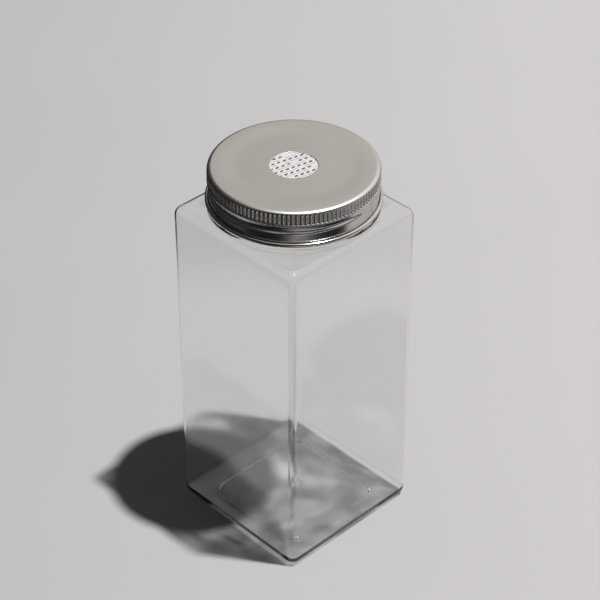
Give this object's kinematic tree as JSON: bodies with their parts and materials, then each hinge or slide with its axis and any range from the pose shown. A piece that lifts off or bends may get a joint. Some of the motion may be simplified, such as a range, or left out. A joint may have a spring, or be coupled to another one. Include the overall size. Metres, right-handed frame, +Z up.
{
  "type": "square screw-top specimen jar",
  "caption": "Clear square screw-top specimen jar with a knurled aluminium lid that unscrews, and a printed foam seal disc seen through a hole in the lid.",
  "frame": {"origin": "middle of the standing face, on the jar's upright axis", "axes": "+Z up along the jar's axis; +X and +Y square to the flat sides of the body"},
  "size_m": [0.0668, 0.0668, 0.1619],
  "materials": {
    "clear_pet": "clear blow-moulded PET, glossy",
    "lid_aluminium": "satin rolled sheet, bright on the rolled edges",
    "seal_foam": "fine-celled white foam",
    "printed_film": "white film with rows of small grey marks"
  },
  "bodies": {
    "jar": {"jar_body": "clear_pet"},
    "seal": {"seal_foam": "seal_foam", "seal_face": "printed_film"},
    "lid": {"cap_shell": "lid_aluminium"}
  },
  "joints": [
    {"name": "lid_lift", "type": "slide", "parent": "jar", "child": "seal", "axis": [0, 0, 1], "range_m": [0, 0.0138]},
    {"name": "lid_turn", "type": "hinge", "parent": "seal", "child": "lid", "pos_m": [0, 0, 0.155], "axis": [0, 0, 1], "range_deg": [0, 1170]}
  ],
  "couplings": [
    {"joint": "lid_lift", "follows": "lid_turn", "m_per_rad": 0.00067376}
  ]
}
